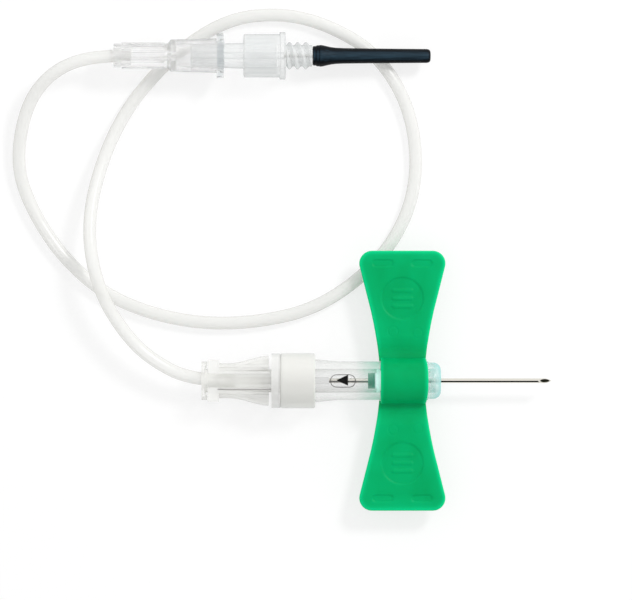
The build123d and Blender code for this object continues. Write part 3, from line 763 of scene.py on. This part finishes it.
# %% Wing sleeve
SLEEVE_REAR, SLEEVE_FRONT, SLEEVE_BORE, SLEEVE_RADIUS = 0.7, 8.9, 3.35, 4.03
PALE_REAR, PALE_FRONT, SLEEVE_PULL = 0.5, 0.9, 0.45

sleeve_corners = [(SLEEVE_REAR, SLEEVE_BORE), (SLEEVE_FRONT, SLEEVE_BORE)]
sleeve_corners += [(x, SLEEVE_RADIUS) for x in (SLEEVE_FRONT, 8.0, 4.8, 1.6, SLEEVE_REAR)]
sleeve = lathe("vinyl_sleeve", rounded(sleeve_corners, 0.22, 4), needle_place)
# ends holds the painted edge glow of the sleeve's thin ends.
ends = []
for vertex in sleeve.data.vertices:
    x, y, z = vertex.co
    from_rear, from_front = x / MM - SLEEVE_REAR, SLEEVE_FRONT - x / MM
    ends.append(max(1 - from_rear / PALE_REAR, 1 - from_front / PALE_FRONT, 0.0) ** 1.5)
    sideways = abs(y) / (SLEEVE_RADIUS * MM)
    vertex.co.x -= SLEEVE_PULL * MM * sideways**3 * max(from_rear / (SLEEVE_FRONT - SLEEVE_REAR), 0.0)
store_painted_light(sleeve.data, ends)
sleeve.data.materials.append(vinyl)
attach(sleeve, "guard")
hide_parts("wing_sleeve")
print(f"sleeve pulled back {SLEEVE_PULL} mm beside the wings")

# %% [markdown]
# ## The luer adapter
# This piece joins the tube to a collection holder. Its back end is a 6% taper that pushes into the clear hub, and its
# front is a coarse two-start thread, which fastens in half the turns of a plain one. The outline below runs once round
# the section, with stations in millimetres along the connector's line.

# %% Outline of the luer adapter
TAPER_DIAMETER, TAPER_STATION, TAPER_SLOPE, TAPER_PLAY = 4.276, 18.95, 0.03, 0.02
TAPER_TIP, TAPER_ROOT = 13.35, 28.03
THREAD_REAR, THREAD_FRONT = 29.6, 34.25
THREAD_CREST, THREAD_ROOT = 2.35, 1.82


def taper_radius(station):
    """Radius of the 6% taper, which widens by 3% of its length on each side."""
    return TAPER_DIAMETER / 2 + TAPER_SLOPE * (station - TAPER_STATION) - TAPER_PLAY


front_outline = rounded(
    [
        (TAPER_TIP, 0.6), (TAPER_TIP, taper_radius(TAPER_TIP)), (TAPER_ROOT, taper_radius(TAPER_ROOT)),
        (TAPER_ROOT, 3.12), (22.45, 3.12), (22.45, 3.74), (28.65, 3.74), (28.65, 4.1), (THREAD_REAR, 4.1),
        (THREAD_REAR, THREAD_ROOT), (THREAD_FRONT, THREAD_ROOT), (THREAD_FRONT, 1.15), (37.45, 1.15),
        (37.45, 0.38), (29.45, 0.38), (29.45, 0.6),
    ],
    0.12,
)
print(f"taper {2 * taper_radius(TAPER_TIP):.2f} mm thick at its tip, {len(front_outline)} outline points")

# %% [markdown]
# The thread is a bulge in the lathe's radius that climbs with the angle. It needs many more rings than the plain
# parts, so those rows go into the outline where its thread root is.

# %% Luer adapter
THREAD_PITCH, THREAD_STARTS, THREAD_STEPS = 1.41, 2, 90
THREAD_MARGIN, RUN_IN, RUN_OUT = 0.15, 0.3, 0.5


def thread_radius(station, angle):
    """Radius of the thread at a station in millimetres, fading out at both ends."""
    lead = THREAD_PITCH * THREAD_STARTS
    turn = (station - lead * angle / tau) / THREAD_PITCH
    ridge = 1 - abs(2 * (turn % 1.0) - 1)
    height = min(max((ridge - 0.25) / 0.65, 0.0), 1.0)
    fade = min((station - THREAD_REAR) / RUN_IN, (THREAD_FRONT - station) / RUN_OUT, 1.0)
    return THREAD_ROOT + (THREAD_CREST - THREAD_ROOT) * height * max(fade, 0.0)


def adapter_swell(station, angle, radius):
    """The thread's radius on the added rows, and the outline's own everywhere else."""
    mm = station / MM
    on_thread = THREAD_REAR + 0.14 < mm < THREAD_FRONT - 0.14 and abs(radius / MM - THREAD_ROOT) < 0.05
    return thread_radius(mm, angle) * MM if on_thread else radius


on_root = (i for i, (x, r) in enumerate(front_outline) if x > THREAD_REAR + 0.1 and abs(r - THREAD_ROOT) < 0.2)
split = next(on_root)
reach = THREAD_FRONT - THREAD_REAR - 2 * THREAD_MARGIN
stations = [THREAD_REAR + THREAD_MARGIN + reach * i / THREAD_STEPS for i in range(THREAD_STEPS + 1)]
thread_rows = [(station, THREAD_ROOT) for station in stations]
adapter_outline = front_outline[:split] + thread_rows + front_outline[split:]
adapter = lathe("threaded_luer_adapter", adapter_outline, connector_place, adapter_swell)
frosted_adapter, tree, shader, place = frosted("natural_polypropylene_adapter", 0.26, "#F8FAFA", "#B4B9B8")
set_cover(tree, shader, veil(tree, 0.4, 0.2, 0.8))
adapter.data.materials.append(frosted_adapter)
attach(adapter, "connector")
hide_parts("luer_adapter")
print(f"thread lead {THREAD_PITCH * THREAD_STARTS:.2f} mm")

# %% [markdown]
# ## The rubber sleeve
# This sleeve is moulded thin rubber: a bead with two fine ring steps holds it on the nipple, a neck tapers off behind
# the bead, and the far end is closed and rounded. A lathe profile with a few more points than the CAD solid has gives
# the ring steps and the soft waist. Only the outside is rounded, and the bore keeps its plain steps.

# %% Rubber sleeve
RUBBER_START, RUBBER_END, RUBBER_WALL_END = 34.35, 54.68, 53.5

rubber_outside = [
    (RUBBER_START, 1.22), (RUBBER_START, 1.64), (34.72, 1.7), (34.8, 1.62), (34.9, 1.74), (35.3, 1.86), (35.42, 1.76),
    (35.54, 1.88), (36.0, 1.84), (36.7, 1.68), (37.4, 1.52), (38.3, 1.4), (39.6, 1.34), (44.0, 1.28), (50.0, 1.23),
    (54.1, 1.2), (54.45, 1.09), (54.62, 0.9), (RUBBER_END, 0.6),
]
rubber_inside = [(RUBBER_END, 0.0), (RUBBER_WALL_END, 0.0), (RUBBER_WALL_END, 0.75), (37.65, 0.75), (37.65, 1.22)]
rubber_rows = rounded(rubber_outside, 0.12, 2) + rubber_inside
rubber_cover = lathe("ringed_rubber_sleeve", rubber_rows, connector_place)
rubber_cover.data.materials.append(rubber)
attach(rubber_cover, "connector")
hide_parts("rubber_sleeve")
print(f"rubber sleeve {RUBBER_END - RUBBER_START:.2f} mm long")

# %% [markdown]
# ## The printed arrow
# A small black triangle in the barrel's window shows which way the guard is pulled. It is pad printed ink, a few
# hundredths of a millimetre thick, on the floor of the window.

# %% Arrow
BARREL_RADIUS, WINDOW_DEPTH = 3.33, 0.35
ARROW_TIP, ARROW_BACK, ARROW_HALF, ARROW_MIDDLE_Y = -6.92, -4.92, 0.95, 0.12
ARROW_FLOOR = NEEDLE_HEIGHT + BARREL_RADIUS - WINDOW_DEPTH
INK_LIFT, INK_THICKNESS, INK_DRIFT = 0.002, 0.03, 0.3 * MM

ink, tree, shader, place = start_material("black_pad_print_ink", Roughness=0.55, Specular_IOR_Level=0.1)
drift = add(tree, "ShaderNodeTexNoise", {"Vector": place, "Scale": 1 / INK_DRIFT}).outputs["Fac"]
tinted(tree, shader, drift, "#0B0C0C", "#1B1B1A")


def printed_arrow():
    """A thin triangular plate with slightly rounded corners."""
    low, high = ARROW_MIDDLE_Y - ARROW_HALF, ARROW_MIDDLE_Y + ARROW_HALF
    flat = rounded([(ARROW_TIP, ARROW_MIDDLE_Y), (ARROW_BACK, low), (ARROW_BACK, high)], 0.08)
    levels = (ARROW_FLOOR + INK_LIFT, ARROW_FLOOR + INK_THICKNESS)
    points = [(x * MM, y * MM, z * MM) for z in levels for x, y in flat]
    count = len(flat)
    sides = [(i, (i + 1) % count, count + (i + 1) % count, count + i) for i in range(count)]
    mesh = bpy.data.meshes.new("arrow_print")
    mesh.from_pydata(points, [], [tuple(reversed(range(count))), tuple(range(count, 2 * count)), *sides])
    return to_scene("arrow_print", mesh)


arrow = printed_arrow()
arrow.data.materials.append(ink)
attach(arrow, "guard")
print(f"arrow {ARROW_BACK - ARROW_TIP:.1f} mm long, printed on the guard")

# %% [markdown]
# The window's wall is seen end-on, as a thin dark line with round ends. A bead about a tenth of a millimetre thick,
# which follows the barrel's curve, draws that line, and its dark colour is painted shade of the end-on wall.

# %% Window lip
LIP_MIDDLE, LIP_REACH, LIP_HALF, LIP_RADIUS = -5.8, 1.085, 1.065, 0.06
LIP_STEPS, LIP_SIDES, LIP_DRIFT = 64, 8, 0.5 * MM

lip_route = []
for k in range(LIP_STEPS):
    angle = tau * k / LIP_STEPS
    x = LIP_MIDDLE + (LIP_REACH if cos(angle) > 0 else -LIP_REACH) + LIP_HALF * cos(angle)
    lip_route.append((x, LIP_HALF * sin(angle)))
lip_points, lip_faces = [], []
for k, (x, y) in enumerate(lip_route):
    ahead, behind = Vector(lip_route[(k + 1) % LIP_STEPS]), Vector(lip_route[k - 1])
    way = (ahead - behind).normalized()
    z = NEEDLE_HEIGHT + (BARREL_RADIUS**2 - y**2) ** 0.5
    for i in range(LIP_SIDES):
        out, up = LIP_RADIUS * cos(tau * i / LIP_SIDES), LIP_RADIUS * sin(tau * i / LIP_SIDES)
        lip_points.append(Vector((x + way.y * out, y - way.x * out, z + up)) * MM)
        j, here, there = (i + 1) % LIP_SIDES, k * LIP_SIDES, (k + 1) % LIP_STEPS * LIP_SIDES
        lip_faces.append((here + i, there + i, there + j, here + j))
lip_mesh = bpy.data.meshes.new("window_wall_shade_line")
lip_mesh.from_pydata(lip_points, [], lip_faces)
lip_mesh.shade_smooth()
lip = to_scene("window_wall_shade_line", lip_mesh)
end_on_shade, tree, shader, place = start_material("painted_end_on_wall_shade", Roughness=0.3, IOR=1.49)
drift = add(tree, "ShaderNodeTexNoise", {"Vector": place, "Scale": 1 / LIP_DRIFT}).outputs["Fac"]
# The dark colour is painted shade.
tinted(tree, shader, drift, "#2E2D28", "#4A4942")
lip.data.materials.append(end_on_shade)
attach(lip, "guard")
print(f"window lip: {len(lip_faces)} faces")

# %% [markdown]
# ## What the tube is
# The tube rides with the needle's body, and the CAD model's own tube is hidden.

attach(tube, "needle")
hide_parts("tubing")

# %% [markdown]
# ## Table and light
# The set lies on a white table in a white room. The table and the room are shown to the camera, and to rays through
# plastic and off metal, close to pure white, while what they cast on the object stays at a plain level. The table
# keeps the object's shadow.

# %% Table
TABLE_GAP = 0.05 * MM
HALF_TABLE = 1.5
TABLE_GLOW = 0.695

table_mesh = bpy.data.meshes.new("table")
corners = [(x * HALF_TABLE, y * HALF_TABLE, -TABLE_GAP) for x, y in ((-1, -1), (1, -1), (1, 1), (-1, 1))]
table_mesh.from_pydata(corners, [], [(0, 1, 2, 3)])
table = to_scene("table", table_mesh)


def seen_directly(tree):
    """1 for camera, glossy and transmission rays, else 0."""
    path = add(tree, "ShaderNodeLightPath").outputs
    either = {0: path["Is Camera Ray"], 1: path["Is Glossy Ray"]}
    both = add(tree, "ShaderNodeMath", either, operation="MAXIMUM").outputs[0]
    return add(tree, "ShaderNodeMath", {0: both, 1: path["Is Transmission Ray"]}, operation="MAXIMUM").outputs[0]


table_material = bpy.data.materials.new("white_laminate_table")
table_material.use_nodes = True
tree = table_material.node_tree
tree.nodes.clear()
laminate = add(tree, "ShaderNodeBsdfDiffuse", {"Color": linear("#EDEDED")})
faint = add(tree, "ShaderNodeBsdfDiffuse", {"Color": linear("#999999")})
glow = add(tree, "ShaderNodeEmission", {"Strength": TABLE_GLOW})
lit = add(tree, "ShaderNodeAddShader", {0: faint.outputs[0], 1: glow.outputs[0]})
both = add(tree, "ShaderNodeMixShader", {0: seen_directly(tree), 1: laminate.outputs[0], 2: lit.outputs[0]})
add(tree, "ShaderNodeOutputMaterial", {"Surface": both.outputs[0]})
table_mesh.materials.append(table_material)
print(f"table {2 * HALF_TABLE:.0f} m wide, {TABLE_GAP / MM:.2f} mm under the parts")

# %% [markdown]
# The room's even light has one soft lamp beside it. The lamp is wider than the whole part and stands at the upper
# right, so the shadows fall a little to the lower left and have soft edges.

# %% Room and lamp
ROOM_LIGHT, WHITE = 0.72, (1, 1, 1, 1)
LAMP_PLACE, LAMP_SIZE, LAMP_POWER = Vector((0.34, 0.36, 0.52)), 0.15, 2.1

world = bpy.data.worlds.new("white_room")
bpy.context.scene.world = world
world.use_nodes = True
tree = world.node_tree
tree.nodes.clear()
cast = add(tree, "ShaderNodeBackground", {"Color": WHITE, "Strength": ROOM_LIGHT})
shown = add(tree, "ShaderNodeBackground", {"Color": WHITE, "Strength": 1.0})
room = add(tree, "ShaderNodeMixShader", {0: seen_directly(tree), 1: cast.outputs[0], 2: shown.outputs[0]})
add(tree, "ShaderNodeOutputWorld", {"Surface": room.outputs[0]})

lamp_data = bpy.data.lights.new("soft_lamp", "AREA")
lamp_data.shape = "DISK"
lamp_data.size = LAMP_SIZE
lamp_data.energy = LAMP_POWER
lamp = to_scene("soft_lamp", lamp_data)
lamp.location = LAMP_PLACE
lamp.rotation_euler = LAMP_PLACE.to_track_quat("Z", "Y").to_euler()
print(f"room at {ROOM_LIGHT}, lamp of {LAMP_POWER} W at {LAMP_PLACE.length:.2f} m")

# %% [markdown]
# Polished steel is a mirror, and in an all white room it would look like white plastic. Photographers stand a black
# card beside it. This one hangs on the near side, from almost overhead down to the table, and only mirror-like
# reflections can see it, so it takes no light from anything.

# %% Black card
CARD_TOP, CARD_FOOT, CARD_HALF_WIDTH = (-0.08, 1.45), (-1.5, 0.0), 2.0
card_mesh = bpy.data.meshes.new("black_card")
card_corners = [(x, *end) for end, ends in ((CARD_TOP, (-1, 1)), (CARD_FOOT, (1, -1))) for x in ends]
card_mesh.from_pydata([(x * CARD_HALF_WIDTH, y, z) for x, y, z in card_corners], [], [(0, 1, 2, 3)])
card = to_scene("black_card", card_mesh)
for ray in ("camera", "diffuse", "transmission", "volume_scatter", "shadow"):
    setattr(card, f"visible_{ray}", False)
black = bpy.data.materials.new("black_felt_card")
black.use_nodes = True
black.node_tree.nodes.clear()
felt = add(black.node_tree, "ShaderNodeBsdfDiffuse", {"Color": linear("#0A0A0A")})
add(black.node_tree, "ShaderNodeOutputMaterial", {"Surface": felt.outputs[0]})
card_mesh.materials.append(black)
print(f"black card {2 * CARD_HALF_WIDTH:.0f} m wide, seen by reflections only")

# %% [markdown]
# ## Finish
# Standard shows each colour as it was written, with no film look over it.

# %% Finish
bpy.context.scene.view_settings.view_transform = "Standard"
